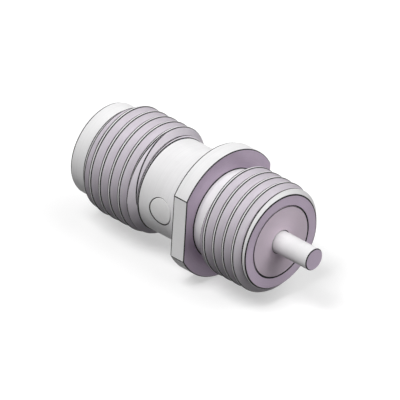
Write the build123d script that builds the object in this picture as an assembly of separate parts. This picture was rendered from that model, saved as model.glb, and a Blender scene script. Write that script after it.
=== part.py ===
from build123d import *
from math import radians, tan
import os

# Millimetres. X is the connector's axis, towards the solder pin. X = 0 is the flange's seat,
# the rear face that stops against the housing. The wrench flats face -Y and +Y.

# Thread form, the same at both ends: right-hand, 36 turns to the inch on a 1/4 inch basic size
thread_pitch = 25.4 / 36
thread_basic_d = 6.35
crest_allowance = 0.15
crest_share = 1 / 8
root_share = 1 / 16
flank_angle = 30.0
groove_over_crest = 0.1

# Shell, turned from one bar
flange_d = 7.4
flange_length = 1.0
across_flats = 6.4
neck_length = 3.05
front_thread_length = 4.05
nose_length = 1.0
plain_under_root = 0.03
relief_under_root = 0.1
relief_length = 0.75
rear_length = 4.0
rear_chamfer = 0.39

# Where each thread groove enters and leaves, clear of the metal, and its angle about X from +Z
front_run_in = 0.057
front_start_angle = 0.0
groove_off_seat = 0.025
rear_start_angle = 180.0
run_out = 0.02

# Mating end inside the nose
nose_wall = 0.35
socket_bore_depth = 1.93
mouth_chamfer = 0.15

# Insulator and centre contact
insulator_d = 4.1
insulator_gap = 0.02
contact_d = 1.27
contact_gap = 0.02
contact_recess = 0.08
pin_projection = 2.5
contact_bore_d = 0.94
contact_bore_depth = 2.8
contact_mouth_chamfer = 0.08
slot_count = 4
slot_width = 0.2
slot_length = 2.0
undercut_depth = 0.185
undercut_margin = 0.05

# Resin plug that locks the insulator and contact, set in a hole drilled across the neck
cross_hole_d = 1.5
cross_hole_from_flange = 1.44
resin_gap = 0.01

# Thread section that follows: flats at crest and root, and 60 degrees between flanks
flank = tan(radians(flank_angle))
crest_r = (thread_basic_d - crest_allowance) / 2
crest_flat = thread_pitch * crest_share + crest_allowance * flank
root_flat = thread_pitch * root_share
groove_half = (thread_pitch - crest_flat) / 2
root_r = crest_r - (groove_half - root_flat / 2) / flank
groove_half_over = groove_half + groove_over_crest * flank

# Radii that follow from the thread
plain_r = root_r - plain_under_root
relief_r = root_r - relief_under_root
socket_bore_r = plain_r - nose_wall
undercut_r = contact_d / 2 - undercut_depth

# Stations along X that follow from the lengths
flange_front = -flange_length
neck_front = flange_front - neck_length
thread_front = neck_front - front_thread_length
nose_face = thread_front - nose_length
insulator_front = nose_face + socket_bore_depth
contact_front = insulator_front + contact_recess
pin_end = rear_length + pin_projection
cross_hole_x = flange_front - cross_hole_from_flange


def turned(points):
    """A solid of revolution about X from its half section, given as (x, radius) points."""
    return revolve(make_face(Polyline(*points, close=True)), Axis.X)


def rod(radius, start, end):
    """A plain round bar on the axis."""
    return turned([(start, 0), (end, 0), (end, radius), (start, radius)])


def shell_section():
    """Half section of the bored bar before its threads are cut: nose, threads, neck, flange, relief."""
    chamfer = crest_r - plain_r
    outside = [
        (nose_face, plain_r),
        (thread_front, plain_r),
        (thread_front + chamfer, crest_r),
        (neck_front - chamfer, crest_r),
        (neck_front, plain_r),
        (flange_front, plain_r),
        (flange_front, flange_d / 2),
        (0, flange_d / 2),
        (0, relief_r),
        (relief_length, relief_r),
        (relief_length, crest_r),
        (rear_length - rear_chamfer, crest_r),
        (rear_length, crest_r - rear_chamfer),
    ]
    bore_r = insulator_d / 2 + insulator_gap
    inside = [
        (rear_length, bore_r),
        (insulator_front, bore_r),
        (insulator_front, socket_bore_r),
        (nose_face + mouth_chamfer, socket_bore_r),
        (nose_face, socket_bore_r + mouth_chamfer),
    ]
    return outside + inside


def thread_groove(start, end, angle):
    """The space between the crests, as a list of swept pieces of one turn or less."""
    section = make_face(
        Polyline(
            (-root_flat / 2, 0, root_r),
            (root_flat / 2, 0, root_r),
            (groove_half_over, 0, crest_r + groove_over_crest),
            (-groove_half_over, 0, crest_r + groove_over_crest),
            close=True,
        )
    )
    pieces = []
    x = start
    while x < end:
        advance = min(thread_pitch, end - x)
        path = Helix(thread_pitch, advance, root_r, direction=(1, 0, 0))
        piece = sweep(section, path=path, is_frenet=True)
        turned_by = angle + 360.0 * (x - start) / thread_pitch
        pieces.append(Pos(x, 0, 0) * Rot(turned_by, 0, 0) * piece)
        x += advance
    return pieces


def wrench_flats():
    """The two segments that come off the flange's rim."""
    depth = (flange_d - across_flats) / 2
    block = Box(flange_length, depth, flange_d)
    reach = across_flats / 2 + depth / 2
    middle = -flange_length / 2
    return [Pos(middle, reach, 0) * block, Pos(middle, -reach, 0) * block]


def cross_hole(radius, length):
    """A bar along Y through the neck, for the drilled hole and for what fills it."""
    return Pos(cross_hole_x, 0, 0) * Rot(90, 0, 0) * Cylinder(radius, length)


def make_shell():
    """The outer conductor: the turned bar, less its wrench flats, cross hole and thread grooves."""
    front_in = thread_front - groove_half_over - front_run_in
    front_out = neck_front + groove_half_over + run_out
    rear_in = groove_half_over + groove_off_seat
    rear_out = rear_length + groove_half_over + run_out
    grooves = thread_groove(front_in, front_out, front_start_angle)
    grooves += thread_groove(rear_in, rear_out, rear_start_angle)
    hole = cross_hole(cross_hole_d / 2, flange_d)
    return turned(shell_section()) - (wrench_flats() + [hole] + grooves)


def make_insulator():
    """The dielectric: a plain sleeve from the reference plane to the rear face, drilled with the shell."""
    bore_r = contact_d / 2 + contact_gap
    outer_r = insulator_d / 2
    sleeve = turned(
        [
            (insulator_front, bore_r),
            (rear_length, bore_r),
            (rear_length, outer_r),
            (insulator_front, outer_r),
        ]
    )
    return sleeve - cross_hole(cross_hole_d / 2, flange_d)


def make_contact():
    """The centre contact: a slotted spring socket in front, a solder pin behind, a neck where it is locked."""
    outer_r, bore_r = contact_d / 2, contact_bore_d / 2
    undercut_front = cross_hole_x - cross_hole_d / 2 - undercut_margin
    undercut_rear = cross_hole_x + cross_hole_d / 2 + undercut_margin
    body = turned(
        [
            (contact_front, bore_r + contact_mouth_chamfer),
            (contact_front, outer_r),
            (undercut_front, outer_r),
            (undercut_front, undercut_r),
            (undercut_rear, undercut_r),
            (undercut_rear, outer_r),
            (pin_end, outer_r),
            (pin_end, 0),
            (contact_front + contact_bore_depth, 0),
            (contact_front + contact_bore_depth, bore_r),
            (contact_front + contact_mouth_chamfer, bore_r),
        ]
    )
    slot = Pos(contact_front + slot_length / 2, 0, outer_r) * Box(slot_length, slot_width, contact_d)
    slots = [Rot(360.0 * n / slot_count, 0, 0) * slot for n in range(slot_count)]
    return body - slots


def make_resin():
    """One cured plug through shell, insulator and the contact's neck, flush with the neck's wall."""
    plug = cross_hole(cross_hole_d / 2 - resin_gap, flange_d)
    flush = rod(plain_r, neck_front, flange_front)
    around = rod(undercut_r + resin_gap, neck_front, flange_front)
    return (plug & flush) - around


nodes = {
    "shell": make_shell(),
    "insulator": make_insulator(),
    "centre_contact": make_contact(),
    "captivation_resin": make_resin(),
}

os.makedirs("parts", exist_ok=True)
for name, solid in nodes.items():
    export_step(solid, f"parts/{name}.step")
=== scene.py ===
from math import acos, asin, atan2, cos, hypot, pi, radians, sin, sqrt, tan

import bpy
from mathutils import Matrix, Vector


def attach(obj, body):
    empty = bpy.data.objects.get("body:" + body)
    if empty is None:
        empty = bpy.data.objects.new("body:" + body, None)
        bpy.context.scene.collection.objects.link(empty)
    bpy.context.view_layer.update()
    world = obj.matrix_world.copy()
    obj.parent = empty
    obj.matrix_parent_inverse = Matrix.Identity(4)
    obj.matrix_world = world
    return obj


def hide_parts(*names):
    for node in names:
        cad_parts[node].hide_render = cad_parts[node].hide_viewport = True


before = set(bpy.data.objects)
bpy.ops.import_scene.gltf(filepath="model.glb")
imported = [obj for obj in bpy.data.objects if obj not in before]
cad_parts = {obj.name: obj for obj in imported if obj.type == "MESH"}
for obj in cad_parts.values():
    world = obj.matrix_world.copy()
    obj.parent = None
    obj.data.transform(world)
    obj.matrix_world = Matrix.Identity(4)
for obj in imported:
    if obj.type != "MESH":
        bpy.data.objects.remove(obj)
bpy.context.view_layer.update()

# Sizes in millimetres, in the frame of the CAD part: X is the axis, towards the solder pin,
# and X = 0 is the flange's seat. Meshes are written in metres.
MM = 0.001

# Thread form, right-hand and the same at both ends
thread_pitch = 25.4 / 36
crest_r = 3.1
crest_flat = 0.1748
root_flat = 0.0441
flank = tan(radians(30))
root_r = crest_r - ((thread_pitch - crest_flat) / 2 - root_flat / 2) / flank
groove_corners = ((-root_flat / 2, "left"), (root_flat / 2, "right"), (thread_pitch / 2, "apex"))

# Where the middle of each groove starts. The front one starts at angle 0.
front_groove_x = -8.4801
rear_groove_x = 0.3481
rear_groove_angle = pi

# Lengths along X
nose_length = 1.0
front_thread_length = 4.05
neck_length = 3.05
flange_length = 1.0
relief_end = 0.75
rear_face = 4.0
rear_chamfer = 0.39
mouth_chamfer = 0.15
socket_bore_depth = 1.93

# Radii that follow from the thread, and the flange a hair inside its solid's facets
plain_under_root = 0.03
relief_under_root = 0.1
nose_wall = 0.35
plain_r = root_r - plain_under_root
relief_r = root_r - relief_under_root
socket_bore_r = plain_r - nose_wall
flange_r = 3.695
flat_reach = 3.1995

# Insulator and centre contact
insulator_r = 2.05
insulator_gap = 0.02
insulator_recess = 0.004
contact_r = 0.635
contact_gap = 0.02
contact_recess = 0.08
contact_bore_r = 0.47
contact_bore_depth = 2.8
contact_lead_in = 0.08
finger_count = 4
slot_width = 0.2
slot_length = 2.0
pin_projection = 2.5

# Drilled hole across the neck, and the resin in it. The resin lies a little under the neck's wall,
# is dished towards its middle and is drawn down at its rim.
hole_from_flange = 1.44
hole_r = 0.75
resin_gap = 0.012
resin_sunk = 0.012
resin_dish = 0.02
resin_middle_depth = 0.033
resin_rim_drop = 0.016

# Stations and radii that follow
flange_front = -flange_length
neck_front = flange_front - neck_length
thread_front = neck_front - front_thread_length
nose_face = thread_front - nose_length
insulator_front = nose_face + socket_bore_depth
contact_front = insulator_front + contact_recess
contact_bore_end = contact_front + contact_bore_depth
slot_end = contact_front + slot_length
pin_end = rear_face + pin_projection
hole_x = flange_front - hole_from_flange
insulator_bore_r = insulator_r + insulator_gap

# Small edge breaks and corner radii left by the tools. A pair is the cut before and after a corner,
# and no cut takes more than the largest share of a side.
crest_break = 0.04
leaving_break = 0.07
edge_break = 0.05
front_edge_break = (0.03, 0.08)
corner_radius = 0.016
flat_corner_break = 0.009
flat_corner_lean = acos(flat_reach / flange_r) / 2
insulator_break = 0.03
pin_break = 0.05
tip_break = 0.02
lead_break = 0.01
largest_cut_share = 0.4

# Columns of vertices round the pieces, and across each finger and slot of the contact
shell_columns = 360
insulator_columns = 240
resin_columns = 72
finger_columns = 24
slot_columns = 4

# Rings of vertices round the drilled hole, as shares of the way from the window's border to the
# hole's edge, and in the resin, as shares of its radius
neck_rings = (0.35, 0.7, 1.0)
resin_rings = (0.15, 0.3, 0.45, 0.6, 0.75, 0.88, 0.96, 1.0)

# The window left for the drilled hole in the walls of the neck and the bore: half its length, the
# spaces between its lines of vertices, and half its angle
window_half = 0.95
window_lines = 10
window_angle = radians(27)

# The sides that face -Y and +Y, where the flats and the hole's ends are, each as angle and sign
sides = ((pi / 2, -1), (3 * pi / 2, 1))

# A length and an angle too small to matter
slight_length = 1e-9
slight_angle = 1e-6

# Edges are sharp from this angle
sharp_angle = radians(12)

# A finish is a place in a piece's list of materials. The faced, flank and inside finishes hold darker copies
# of the metal as painted shade, the milled finish holds a paler copy as painted light, and the edge finish is
# near-black, painted shade along edge breaks and in the thread roots.
TURNED, FACED_PAINTED_SHADE, PAINTED_DARK_EDGE, INSIDE_PAINTED_SHADE, FLANK_PAINTED_SHADE, MILLED_PAINTED_LIGHT = range(6)

# The photograph's view: its right and its way to the viewer, the width that it takes in, and what
# lies in its middle, right of and above the origin
view_right = (0.7133, 0.6990, 0.0507)
view_toward = (0.5877, -0.6360, 0.5003)
view_width = 21.30
view_middle = (-1.452, 0.700)
view_distance = 150

# Floor and surround, as they light the object and as they are seen directly
floor_half = 600
floor_level = -3.7
floor_dim, floor_seen, floor_lift = 0.06, 0.56, 0.48
sky_dim, sky_seen = 0.04, 1

# Square lamps at one distance: name, the way to it, its size and its power
lamp_distance = 500
lamps = (
    ("key", (-0.05, -0.5, 0.865), 240, 2.15),
    ("side", (0.5, 0.28, 0.82), 450, 1.35),
    ("front", (0.98, -0.15, 0.1), 240, 0.26),
    ("back", (-0.75, 0.62, 0.2), 300, 0.7),
)


def at(x, radius, angle):
    """A point in metres. The angle is about +X, from +Z towards -Y."""
    return Vector((x, -radius * sin(angle), radius * cos(angle))) * MM


def by_hole(u, z, wall_r, depth, y_sign):
    """A point in metres beside the hole's axis, at a depth under a round wall about X."""
    return Vector((hole_x + u, y_sign * (sqrt(wall_r**2 - z**2) - depth), z)) * MM


class Surface:
    """Vertices and faces of a mesh in the making, with a finish for each face."""

    def __init__(self):
        self.points, self.faces, self.finish = [], [], []

    def add(self, point):
        self.points.append(point)
        return len(self.points) - 1

    def face(self, corners, finish=TURNED):
        kept = [c for n, c in enumerate(corners) if c != corners[n - 1]]
        if len(kept) > 2:
            self.faces.append(kept)
            self.finish.append(finish)

    def piece(self, name, node, materials):
        """The finished object, standing for its CAD node."""
        mesh = bpy.data.meshes.new(name)
        mesh.from_pydata(self.points, [], self.faces)
        for material in materials:
            mesh.materials.append(material)
        mesh.polygons.foreach_set("material_index", self.finish)
        mesh.polygons.foreach_set("use_smooth", [True] * len(self.faces))
        mesh.validate()
        mesh.set_sharp_from_angle(angle=sharp_angle)
        made = bpy.data.objects.new(name, mesh)
        bpy.context.scene.collection.objects.link(made)
        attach(made, "root")
        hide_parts(node)
        return made


def soften(outline):
    """The same closed outline with every corner cut by its own small amount.

    Points are (label, x, radius, cut, finish), where a cut may be two lengths, before and after the
    corner. A cut corner gives two points, marked a and b."""
    made, cuts = [], []
    count = len(outline)
    for n, (label, x, r, cut, finish) in enumerate(outline):
        _, px, pr, *_ = outline[n - 1]
        _, qx, qr, *_ = outline[(n + 1) % count]
        before, after = hypot(px - x, pr - r), hypot(qx - x, qr - r)
        if cut == 0 or min(before, after) < slight_length:
            made.append((label, x, r, finish))
            continue
        cut_before, cut_after = cut if isinstance(cut, tuple) else (cut, cut)
        back = min(cut_before, before * largest_cut_share) / before
        on = min(cut_after, after * largest_cut_share) / after
        cuts.append(len(made))
        # The strip of each cut corner takes the edge finish, near-black: painted shade along edge breaks and
        # in the thread roots.
        made.append(((label, "a"), x + (px - x) * back, r + (pr - r) * back, PAINTED_DARK_EDGE))
        made.append(((label, "b"), x + (qx - x) * on, r + (qr - r) * on, finish))
    for first, second in zip(cuts, cuts[1:]):
        if second == first + 2:
            merge(made, first)
    return made


def merge(points, first):
    """Where two cut corners close on each other, moves the points between them onto the line across both."""
    (_, ax, ar, _), (lb, bx, br, fb), (lc, cx, cr, fc), (_, dx, dr, _) = points[first : first + 4]
    near = max(0.0, 1 - hypot(cx - bx, cr - br) / edge_break)
    if near == 0:
        return
    across = hypot(dx - ax, dr - ar) or 1.0
    for place, label, x, r, finish in ((first + 1, lb, bx, br, fb), (first + 2, lc, cx, cr, fc)):
        share = ((x - ax) * (dx - ax) + (r - ar) * (dr - ar)) / across**2
        x += (ax + (dx - ax) * share - x) * near
        r += (ar + (dr - ar) * share - r) * near
        points[place] = (label, x, r, finish)


def on_bar_at(bar, x):
    """The radius and finish of a run of (label, x, radius, finish) points at a station."""
    for (_, x0, r0, finish), (_, x1, r1, _) in zip(bar, bar[1:]):
        if x0 <= x < x1:
            return r0 + (r1 - r0) * (x - x0) / (x1 - x0), finish
    return bar[-1][2:]


def threaded(bar, groove_x, angle):
    """The lower of the bar's outline and the thread groove's at this angle, as points for soften."""
    turn = thread_pitch * angle / (2 * pi)
    first, last = bar[0][1], bar[-1][1]

    def nearest(x):
        return round((x - groove_x - turn) / thread_pitch)

    def groove(x):
        off = abs(x - groove_x - turn - nearest(x) * thread_pitch)
        return root_r + max(0.0, off - root_flat / 2) / flank

    stops = [(x, label, True) for label, x, *_ in bar]
    for k in range(nearest(first) - 1, nearest(last) + 2):
        centre = groove_x + turn + k * thread_pitch
        for offset, side in groove_corners:
            if first < centre + offset < last:
                stops.append((centre + offset, (k, side), False))
    stops.sort(key=lambda stop: stop[0])
    # The groove's faces take the flank finish, a darker mauve copy of the metal: painted shade.
    made, before = [], None
    for x, label, on_bar in stops:
        bar_r, bar_finish = on_bar_at(bar, x)
        over = groove(x) - bar_r
        if before is not None and over * before[1] < 0:
            cross = before[0] + (x - before[0]) * before[1] / (before[1] - over)
            cross_r, cross_finish = on_bar_at(bar, cross)
            k = nearest((before[0] + x) / 2)
            if over < 0:
                made.append(((k, "in"), cross, cross_r, crest_break, FLANK_PAINTED_SHADE))
            else:
                made.append(((k, "out"), cross, cross_r, leaving_break, cross_finish))
        if on_bar and over >= 0:
            made.append((label, x, bar_r, edge_break, bar_finish))
        elif on_bar and x in (first, last):
            made.append((label, x, groove(x), crest_break, FLANK_PAINTED_SHADE if x == first else bar_finish))
        elif not on_bar and over < 0:
            made.append((label, x, groove(x), corner_radius, FLANK_PAINTED_SHADE))
        before = (x, over)
    return made


def off_flat(angle):
    """How far this angle is from the nearer wrench flat's middle."""
    return abs(angle % pi - pi / 2)


# The narrow break between a flat and the round rim: its reach, and where it meets each of them
break_reach = flange_r * cos(flat_corner_lean) - flat_corner_break
break_at_rim = flat_corner_lean + acos(break_reach / flange_r)
break_at_flat = atan2(break_reach - flat_reach * cos(flat_corner_lean), flat_reach * sin(flat_corner_lean))


def rim_reach(angle):
    """The flange's reach at this angle: the round rim, a wrench flat or the break between."""
    off = off_flat(angle)
    if off > break_at_rim:
        return flange_r
    if off < break_at_flat:
        return flat_reach / cos(off)
    return break_reach / cos(off - flat_corner_lean)


def rim_finish(angle):
    """The finish of the flange's reach just after this angle."""
    off = off_flat(angle + slight_angle)
    if off > break_at_rim:
        return TURNED
    # The flat takes the paler milled copy, painted light, and the break beside it the near-black edge finish,
    # painted shade.
    return MILLED_PAINTED_LIGHT if off < break_at_flat else PAINTED_DARK_EDGE


def window_x(n):
    """The station of a line of the window round the drilled hole."""
    return hole_x + window_half * (2 * n / window_lines - 1)


def shell_outline(angle):
    """The shell's closed half section at this angle, with its corners cut."""
    front_bar = [
        ("front foot", thread_front, plain_r, TURNED),
        ("front crest", thread_front + crest_r - plain_r, crest_r, TURNED),
        ("back crest", neck_front - crest_r + plain_r, crest_r, FLANK_PAINTED_SHADE),
        ("back foot", neck_front, plain_r, TURNED),
    ]
    rear_bar = [
        ("rear wall", relief_end, crest_r, TURNED),
        ("rear crest", rear_face - rear_chamfer, crest_r, TURNED),
        ("rear edge", rear_face, crest_r - rear_chamfer, FACED_PAINTED_SHADE),
    ]
    reach = rim_reach(angle)
    points = [
        ("mouth in", nose_face + mouth_chamfer, socket_bore_r, edge_break, TURNED),
        ("mouth out", nose_face, socket_bore_r + mouth_chamfer, edge_break / 2, FACED_PAINTED_SHADE),
        ("nose edge", nose_face, plain_r, front_edge_break, TURNED),
    ]
    points += threaded(front_bar, front_groove_x, angle)
    points += [(("neck", n), window_x(n), plain_r, 0, TURNED) for n in range(window_lines + 1)]
    points += [
        ("neck corner", flange_front, plain_r, edge_break, FACED_PAINTED_SHADE),
        ("flange front", flange_front, reach, front_edge_break, rim_finish(angle)),
        ("flange back", 0, reach, edge_break, FACED_PAINTED_SHADE),
        ("seat corner", 0, relief_r, edge_break, TURNED),
        ("relief corner", relief_end, relief_r, edge_break, FACED_PAINTED_SHADE),
    ]
    points += threaded(rear_bar, rear_groove_x, angle - rear_groove_angle)
    points += [("rear bore", rear_face, insulator_bore_r, edge_break, INSIDE_PAINTED_SHADE)]
    for n in range(window_lines, -1, -1):
        points.append((("bore", n), window_x(n), insulator_bore_r, 0, INSIDE_PAINTED_SHADE))
    points += [
        ("bore front", insulator_front, insulator_bore_r, 0, FACED_PAINTED_SHADE),
        ("bore step", insulator_front, socket_bore_r, 0, TURNED),
    ]
    return soften(points)


def zip_columns(surface, left, right, skip=None):
    """Faces between two neighbouring closed columns of (label, vertex, finish) points, matched by label.

    A point that only one column has joins the nearer point of the other."""
    in_left = {p[0]: n for n, p in enumerate(left)}
    in_right = {p[0]: n for n, p in enumerate(right)}
    nl, nr = len(left), len(right)

    def nearer(point, here, there):
        """Whether the point lies nearer to there than to here."""
        spot = surface.points[point[1]]
        return (spot - surface.points[there[1]]).length < (spot - surface.points[here[1]]).length

    i = j = 0
    while i < nl or j < nr:
        a, a2 = left[i % nl], left[(i + 1) % nl]
        b, b2 = right[j % nr], right[(j + 1) % nr]
        both = i < nl and j < nr
        if both and a2[0] == b2[0]:
            if not (skip and skip(a[0], a2[0])):
                surface.face([a[1], b[1], b2[1], a2[1]], a[2])
            i, j = i + 1, j + 1
            continue
        alone_left = i < nl and (i + 1 == nl or in_right.get(a2[0], -1) <= j)
        alone_right = j < nr and (j + 1 == nr or in_left.get(b2[0], -1) <= i)
        joins_next = nearer(a2, b, b2) if alone_left else nearer(b2, a, a2)
        if both and (alone_left == alone_right or joins_next):
            surface.face([a[1], b[1], b2[1], a2[1]], a[2])
            i, j = i + 1, j + 1
        elif alone_left or j >= nr:
            surface.face([a[1], b[1], a2[1]], a[2])
            i += 1
        else:
            surface.face([a[1], b[1], b2[1]], b[2])
            j += 1


def shell_piece(materials):
    """The turned shell: threads on their helices, flange with its flats, bores and cross hole."""
    angles = [2 * pi * n / shell_columns for n in range(shell_columns)]
    for side, _ in sides:
        for off in (break_at_rim, break_at_flat):
            angles += [side - off, side + off]
    angles.sort()
    surface = Surface()
    columns = []
    for angle in angles:
        outline = shell_outline(angle)
        columns.append([(label, surface.add(at(x, r, angle)), finish) for label, x, r, finish in outline])
    turned_once = shell_outline(2 * pi)
    last = [(label, vertex, finish) for (label, _, _, finish), (_, vertex, _) in zip(turned_once, columns[0])]
    columns.append(last)
    angles.append(2 * pi)

    def in_window(angle, side):
        return abs(angle - side) < window_angle + slight_angle

    def window_lines_of(first, second):
        return first[0] in ("neck", "bore") and second[0] == first[0]

    for n in range(len(angles) - 1):
        inside = any(in_window(angles[n], side) and in_window(angles[n + 1], side) for side, _ in sides)
        zip_columns(surface, columns[n], columns[n + 1], window_lines_of if inside else None)
    for side, y_sign in sides:
        crossed = [column for angle, column in zip(angles, columns) if in_window(angle, side)]
        grid = [{label: vertex for label, vertex, _ in column} for column in crossed]
        hole_wall(surface, window_border(grid, "neck"), window_border(grid, "bore"), y_sign)
    return surface.piece("shell_body", "shell", materials)


def window_border(grid, wall):
    """The vertices round a window, from a list of columns as {label: vertex}."""
    border = [grid[0][(wall, k)] for k in range(window_lines + 1)]
    border += [column[(wall, window_lines)] for column in grid[1:]]
    border += [grid[-1][(wall, k)] for k in range(window_lines - 1, -1, -1)]
    return border + [column[(wall, 0)] for column in grid[-2:0:-1]]


def hole_wall(surface, outside, inside, y_sign):
    """The drilled hole, from a window in the neck's wall, over its round edge and down to one in the bore."""

    def around(vertices):
        """Where these vertices lie beside the hole's axis, along X and Z."""
        spots = [surface.points[v] / MM for v in vertices]
        return [(p.x - hole_x, p.z) for p in spots]

    def ring(spots, wall_r, depth=0.0):
        return [surface.add(by_hole(u, z, wall_r, depth, y_sign)) for u, z in spots]

    def circle(radius):
        return [(u / hypot(u, z) * radius, z / hypot(u, z) * radius) for u, z in around(outside)]

    def between(spots, goals, share):
        return [(u + (gu - u) * share, z + (gz - z) * share) for (u, z), (gu, gz) in zip(spots, goals)]

    edge, drilled = circle(hole_r + edge_break), circle(hole_r)
    rings = [outside]
    rings += [ring(between(around(outside), edge, share), plain_r) for share in neck_rings]
    rings += [ring(drilled, plain_r, edge_break), ring(drilled, insulator_bore_r)]
    rings += [ring(between(drilled, around(inside), 0.5), insulator_bore_r), inside]
    # The ring at the hole's rim is near-black, painted shade, and the hole's wall takes the darker inside
    # finish, painted shade.
    finishes = (TURNED, TURNED, TURNED, PAINTED_DARK_EDGE, INSIDE_PAINTED_SHADE, INSIDE_PAINTED_SHADE, INSIDE_PAINTED_SHADE)
    count = len(outside)
    for outer, inner, finish in zip(rings, rings[1:], finishes):
        for k in range(count):
            surface.face([inner[k], inner[(k + 1) % count], outer[(k + 1) % count], outer[k]], finish)


def resin_end(surface, y_sign):
    """One end of the resin plug, flush with the neck and a little dished where it shrank."""
    radius, count = hole_r - resin_gap, resin_columns

    def ring(share, wall_r, depth):
        made = []
        for k in range(count):
            turn = 2 * pi * k / count
            u, z = radius * share * cos(turn), radius * share * sin(turn)
            made.append(surface.add(by_hole(u, z, wall_r, depth, y_sign)))
        return made

    def face(corners):
        surface.face(corners if y_sign < 0 else corners[::-1])

    rings = []
    for share in resin_rings:
        depth = resin_sunk + resin_dish * (1 - share**2) + (resin_rim_drop if share == 1.0 else 0.0)
        rings.append(ring(share, plain_r, depth))
    rings.append(ring(1.0, insulator_bore_r, 0.0))
    middle = surface.add(by_hole(0, 0, plain_r, resin_middle_depth, y_sign))
    under = surface.add(by_hole(0, 0, insulator_bore_r, 0.0, y_sign))
    for k in range(count):
        face([middle, rings[0][k], rings[0][(k + 1) % count]])
        face([under, rings[-1][(k + 1) % count], rings[-1][k]])
    for inner, outer in zip(rings, rings[1:]):
        for k in range(count):
            face([inner[k], outer[k], outer[(k + 1) % count], inner[(k + 1) % count]])


def resin_piece(materials):
    """The two visible ends of the resin plug, down to the shell's bore."""
    surface = Surface()
    for y_sign in (-1, 1):
        resin_end(surface, y_sign)
    return surface.piece("resin_plug", "captivation_resin", materials)


def insulator_piece(materials):
    """The sleeve, machined flush with the shell behind and standing at the reference plane in front."""
    surface = Surface()
    bore, rear = contact_r + contact_gap, rear_face - insulator_recess
    outline = soften(
        [
            ("front bore", insulator_front, bore, insulator_break, TURNED),
            ("front rim", insulator_front, insulator_r, insulator_break, TURNED),
            ("rear rim", rear, insulator_r, insulator_break, TURNED),
            ("rear bore", rear, bore, insulator_break, TURNED),
        ]
    )
    columns = []
    for n in range(insulator_columns):
        angle = 2 * pi * n / insulator_columns
        columns.append([(label, surface.add(at(x, r, angle)), finish) for label, x, r, finish in outline])
    for n in range(insulator_columns):
        zip_columns(surface, columns[n - 1], columns[n])
    return surface.piece("insulator_sleeve", "insulator", materials)


def contact_piece(materials):
    """The centre contact: a solid pin behind, and in front a socket of slotted fingers with a lead-in."""
    surface = Surface()
    body = soften(
        [
            ("root out", slot_end, contact_r, 0, TURNED),
            ("pin edge", pin_end, contact_r, pin_break, FACED_PAINTED_SHADE),
            ("pin middle", pin_end, 0, 0, FACED_PAINTED_SHADE),
            ("bore middle", contact_bore_end, 0, 0, TURNED),
            ("bore end", contact_bore_end, contact_bore_r, 0, TURNED),
            ("root in", slot_end, contact_bore_r, 0, FACED_PAINTED_SHADE),
        ]
    )
    finger = soften(
        [
            ("root in", slot_end, contact_bore_r, 0, TURNED),
            ("lead in", contact_front + contact_lead_in, contact_bore_r, lead_break, TURNED),
            ("lead out", contact_front, contact_bore_r + contact_lead_in, lead_break, FACED_PAINTED_SHADE),
            ("tip", contact_front, contact_r, tip_break, TURNED),
            ("root out", slot_end, contact_r, 0, TURNED),
        ]
    )
    middles = {label: surface.add(at(x, 0, 0)) for label, x, r, _ in body if r == 0}

    def angle_at(n, k, r):
        """Step k of finger n and the slot after it, where the slot's walls are parallel."""
        inset = asin(slot_width / 2 / r)
        start, width = n * 2 * pi / finger_count, 2 * pi / finger_count
        if k <= finger_columns:
            return start + inset + (width - 2 * inset) * k / finger_columns
        return start + width + inset * (2 * (k - finger_columns) / slot_columns - 1)

    columns = []
    for n in range(finger_count):
        for k in range(finger_columns + slot_columns):
            made = dict(middles)
            for label, x, r, _ in body + finger if k <= finger_columns else body:
                if label not in made:
                    made[label] = surface.add(at(x, r, angle_at(n, k, r)))
            columns.append((k, made))

    def strip(outline, left, right):
        """Faces along an outline, from one column to the next."""
        for (first, _, _, finish), (second, *_) in zip(outline, outline[1:]):
            surface.face([left[first], right[first], right[second], left[second]], finish)

    for n, (k, left) in enumerate(columns):
        right = columns[(n + 1) % len(columns)][1]
        if k < finger_columns:
            strip(body, left, right)
            strip(finger, left, right)
        else:
            strip(body + body[:1], left, right)
        if k in (0, finger_columns):
            slot_wall = [left[label] for label, *_ in finger]
            surface.face(slot_wall if k == 0 else slot_wall[::-1], FACED_PAINTED_SHADE)
    return surface.piece("contact_pin", "centre_contact", materials)


def shader_node(tree, kind, **values):
    """A shader node with its settings and input values."""
    made = tree.nodes.new(kind)
    for name, value in values.items():
        if name in made.inputs.keys():
            made.inputs[name].default_value = value
        else:
            setattr(made, name, value)
    return made


def worked_out(tree, operation, *values):
    """The result of an operation on one or two sockets or numbers."""
    made = shader_node(tree, "ShaderNodeMath", operation=operation)
    for socket, value in zip(made.inputs, values):
        if isinstance(value, bpy.types.NodeSocket):
            tree.links.new(value, socket)
        else:
            socket.default_value = value
    return made.outputs[0]


def mixed(tree, factor, first, second):
    """A colour between two, by a factor socket."""
    made = shader_node(tree, "ShaderNodeMix", data_type="RGBA")
    tree.links.new(factor, made.inputs["Factor"])
    made.inputs["A"].default_value = (*first, 1)
    made.inputs["B"].default_value = (*second, 1)
    return made.outputs["Result"]


def ranged(tree, noise, low, high):
    """A noise value spread between low and high. Nearly all noise lies between 0.3 and 0.7."""
    made = tree.nodes.new("ShaderNodeMapRange")
    made.inputs["From Min"].default_value = 0.3
    made.inputs["From Max"].default_value = 0.7
    made.inputs["To Min"].default_value = low
    made.inputs["To Max"].default_value = high
    tree.links.new(noise, made.inputs["Value"])
    return made.outputs["Result"]


def noised(tree, place, grain, detail, roughness):
    """Noise at a place, with a grain this many millimetres wide."""
    made = shader_node(tree, "ShaderNodeTexNoise", Scale=1 / (grain * MM), Detail=detail, Roughness=roughness)
    tree.links.new(place, made.inputs["Vector"])
    return made.outputs["Fac"]


def bumped(tree, height, strength, depth):
    """A normal with this height as bump, the depth in millimetres."""
    made = shader_node(tree, "ShaderNodeBump", Strength=strength, Distance=depth * MM)
    tree.links.new(height, made.inputs["Height"])
    return made.outputs["Normal"]


def new_material(name):
    """A material, its node tree and its shader."""
    material = bpy.data.materials.new(name)
    material.use_nodes = True
    return material, material.node_tree, material.node_tree.nodes["Principled BSDF"]


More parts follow.
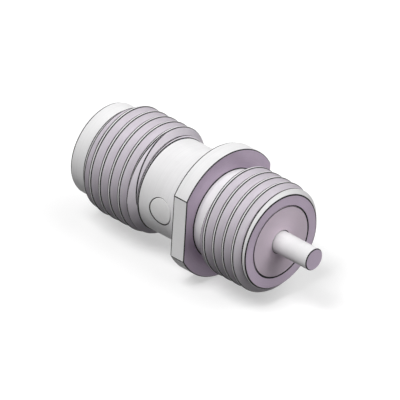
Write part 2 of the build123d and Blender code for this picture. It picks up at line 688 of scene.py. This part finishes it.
def turned_material(name, dark, light, metallic, rough, depth, patch=1.4, line=0.05, milled=False):
    """Stock cut on a lathe: fine rings that follow the feed, on cylinders and end faces alike.

    Milled stock has fine lines across the flat instead. The depth and width of the lines and the
    width of the stains are in millimetres."""
    material, tree, shader = new_material(name)
    place = shader_node(tree, "ShaderNodeTexCoord").outputs["Object"]
    parts = shader_node(tree, "ShaderNodeSeparateXYZ")
    tree.links.new(place, parts.inputs[0])
    x, y, z = parts.outputs
    across = shader_node(tree, "ShaderNodeCombineXYZ")
    if milled:
        tree.links.new(z, across.inputs["X"])
    else:
        squares = [worked_out(tree, "MULTIPLY", side, side) for side in (y, z)]
        radius = worked_out(tree, "SQRT", worked_out(tree, "ADD", *squares))
        tree.links.new(x, across.inputs["X"])
        tree.links.new(radius, across.inputs["Y"])
    feed = noised(tree, across.outputs[0], line, detail=3.0, roughness=0.6)
    stain = noised(tree, place, patch, detail=4.0, roughness=0.55)
    tone = worked_out(tree, "ADD", ranged(tree, stain, 0.1, 0.7), ranged(tree, feed, -0.2, 0.3))
    tree.links.new(mixed(tree, tone, dark, light), shader.inputs["Base Color"])
    worn = ranged(tree, stain, rough - 0.05, rough + 0.03)
    roughness = worked_out(tree, "ADD", worn, ranged(tree, feed, -0.03, 0.03))
    tree.links.new(roughness, shader.inputs["Roughness"])
    tree.links.new(bumped(tree, feed, strength=1.0, depth=depth), shader.inputs["Normal"])
    shader.inputs["Metallic"].default_value = metallic
    shader.inputs["Specular IOR Level"].default_value = 0.02
    return material


def resin_material(name):
    """Cured casting resin: cloudy, with a skin that is not quite level."""
    material, tree, shader = new_material(name)
    place = shader_node(tree, "ShaderNodeTexCoord").outputs["Object"]
    cloud = noised(tree, place, 0.5, detail=5.0, roughness=0.6)
    skin = noised(tree, place, 0.25, detail=2.0, roughness=0.5)
    tone = mixed(tree, ranged(tree, cloud, 0, 1), (0.88, 0.875, 0.87), (0.94, 0.935, 0.93))
    tree.links.new(tone, shader.inputs["Base Color"])
    tree.links.new(ranged(tree, cloud, 0.42, 0.52), shader.inputs["Roughness"])
    tree.links.new(bumped(tree, skin, strength=0.6, depth=0.006), shader.inputs["Normal"])
    return material


def seen_directly(tree):
    """1 for camera, glossy and transmission rays, 0 for the rest."""
    rays = shader_node(tree, "ShaderNodeLightPath").outputs
    first = worked_out(tree, "MAXIMUM", rays["Is Camera Ray"], rays["Is Glossy Ray"])
    return worked_out(tree, "MAXIMUM", first, rays["Is Transmission Ray"])


def grey(level):
    return (level, level, level)


def floor_piece():
    """A plain floor under the flange's rim. Seen directly it is lifted to white, and keeps the shadow."""
    half, level = floor_half * MM, floor_level * MM
    mesh = bpy.data.meshes.new("floor")
    corners = [(-half, -half, level), (half, -half, level), (half, half, level), (-half, half, level)]
    mesh.from_pydata(corners, [], [(0, 1, 2, 3)])
    material, tree, shader = new_material("floor_paper")
    direct = seen_directly(tree)
    tree.links.new(mixed(tree, direct, grey(floor_dim), grey(floor_seen)), shader.inputs["Base Color"])
    shader.inputs["Roughness"].default_value = 0.9
    shader.inputs["Specular IOR Level"].default_value = 0.0
    shader.inputs["Emission Color"].default_value = (1, 1, 1, 1)
    tree.links.new(worked_out(tree, "MULTIPLY", direct, floor_lift), shader.inputs["Emission Strength"])
    mesh.materials.append(material)
    made = bpy.data.objects.new("floor", mesh)
    bpy.context.scene.collection.objects.link(made)


def sky():
    """A dim even surround for light, and white where it is seen directly."""
    world = bpy.context.scene.world or bpy.data.worlds.new("studio")
    bpy.context.scene.world = world
    world.use_nodes = True
    tree = world.node_tree
    tree.nodes.clear()
    out = shader_node(tree, "ShaderNodeOutputWorld")
    shade = shader_node(tree, "ShaderNodeBackground")
    tree.links.new(shade.outputs[0], out.inputs["Surface"])
    tree.links.new(mixed(tree, seen_directly(tree), grey(sky_dim), grey(sky_seen)), shade.inputs["Color"])


def softbox(name, direction, size, power):
    """A square lamp that faces the object from this direction, and isn't seen in reflections."""
    lamp = bpy.data.lights.new(name, "AREA")
    lamp.size = size * MM
    lamp.energy = power
    made = bpy.data.objects.new(name, lamp)
    way = Vector(direction).normalized()
    made.location = way * lamp_distance * MM
    made.rotation_euler = way.to_track_quat("Z", "Y").to_euler()
    made.visible_glossy = False
    bpy.context.scene.collection.objects.link(made)


def camera():
    """A parallel view at the photograph's angle."""
    toward = Vector(view_toward).normalized()
    up = toward.cross(Vector(view_right).normalized()).normalized()
    right = up.cross(toward)
    middle = (right * view_middle[0] + up * view_middle[1]) * MM
    data = bpy.data.cameras.new("camera")
    data.type = "ORTHO"
    data.ortho_scale = view_width * MM
    data.clip_start = 0.005
    data.clip_end = 20.0
    made = bpy.data.objects.new("camera", data)
    turn = Matrix((right, up, toward)).transposed().to_4x4()
    made.matrix_world = Matrix.Translation(middle + toward * view_distance * MM) @ turn
    bpy.context.scene.collection.objects.link(made)
    bpy.context.scene.camera = made


camera()

# Each finish runs from a dark to a light tone. Then come its metallic share, its roughness and the
# depth of its lines.
metal_share = 0.12
turned = turned_material(
    "turned_metal", (0.75, 0.745, 0.75), (0.85, 0.845, 0.85), metal_share, 0.42, 0.009, line=0.07
)
# Thread flanks get a darker, mauve copy of the turned metal: painted shade.
flanks_painted_shade = turned_material("flank_metal_painted_shade", (0.68, 0.64, 0.69), (0.79, 0.745, 0.8), 0.04, 0.5, 0.006)
# End faces get a darker, mauve copy of the turned metal: painted shade.
faced_painted_shade = turned_material(
    "faced_metal_painted_shade", (0.555, 0.46, 0.575), (0.65, 0.545, 0.675), 0.3, 0.46, 0.010, line=0.09
)
# Edge breaks and root radii are near-black: painted shade along the edges and in the thread roots.
painted_dark_edges = turned_material("edge_metal_painted_dark", (0.03, 0.029, 0.03), (0.06, 0.058, 0.06), metal_share, 0.5, 0.001)
# The bores get a darker copy of the turned metal: painted shade inside the recesses.
bored_painted_shade = turned_material("bore_metal_painted_shade", (0.55, 0.54, 0.55), (0.65, 0.64, 0.65), metal_share, 0.4, 0.006)
# The wrench flats get a paler copy of the metal: painted light.
milled = turned_material(
    "milled_metal_painted_light", (0.86, 0.855, 0.86), (0.94, 0.935, 0.94), metal_share, 0.4, 0.006, milled=True
)
# The PTFE is given the mauve tint of shaded end faces: a painted shade tint on white PTFE.
polymer_painted_mauve_shade = turned_material(
    "ptfe_painted_mauve_shade", (0.91, 0.775, 0.89), (0.97, 0.83, 0.95), 0.0, 0.5, 0.012, patch=0.9, line=0.1
)
# The sleeve's edge breaks are dark grey: painted shade along its edges.
polymer_painted_dark_edge = turned_material("ptfe_edge_painted_dark", (0.15, 0.13, 0.15), (0.2, 0.18, 0.2), 0.0, 0.5, 0.002)
plated = turned_material(
    "plated_metal", (0.78, 0.775, 0.78), (0.85, 0.845, 0.85), metal_share, 0.36, 0.003, line=0.03
)
# The contact's end faces get a darker, mauve copy of the plated metal: painted shade.
plated_face_painted_shade = turned_material("plated_face_painted_shade", (0.54, 0.45, 0.565), (0.63, 0.53, 0.66), 0.3, 0.4, 0.005)

shell_piece([turned, faced_painted_shade, painted_dark_edges, bored_painted_shade, flanks_painted_shade, milled])
insulator_piece([polymer_painted_mauve_shade, polymer_painted_mauve_shade, polymer_painted_dark_edge])
contact_piece([plated, plated_face_painted_shade, painted_dark_edges])
resin_piece([resin_material("cured_resin")])

floor_piece()
sky()
for lamp in lamps:
    softbox(*lamp)

bpy.context.scene.view_settings.view_transform = "Standard"
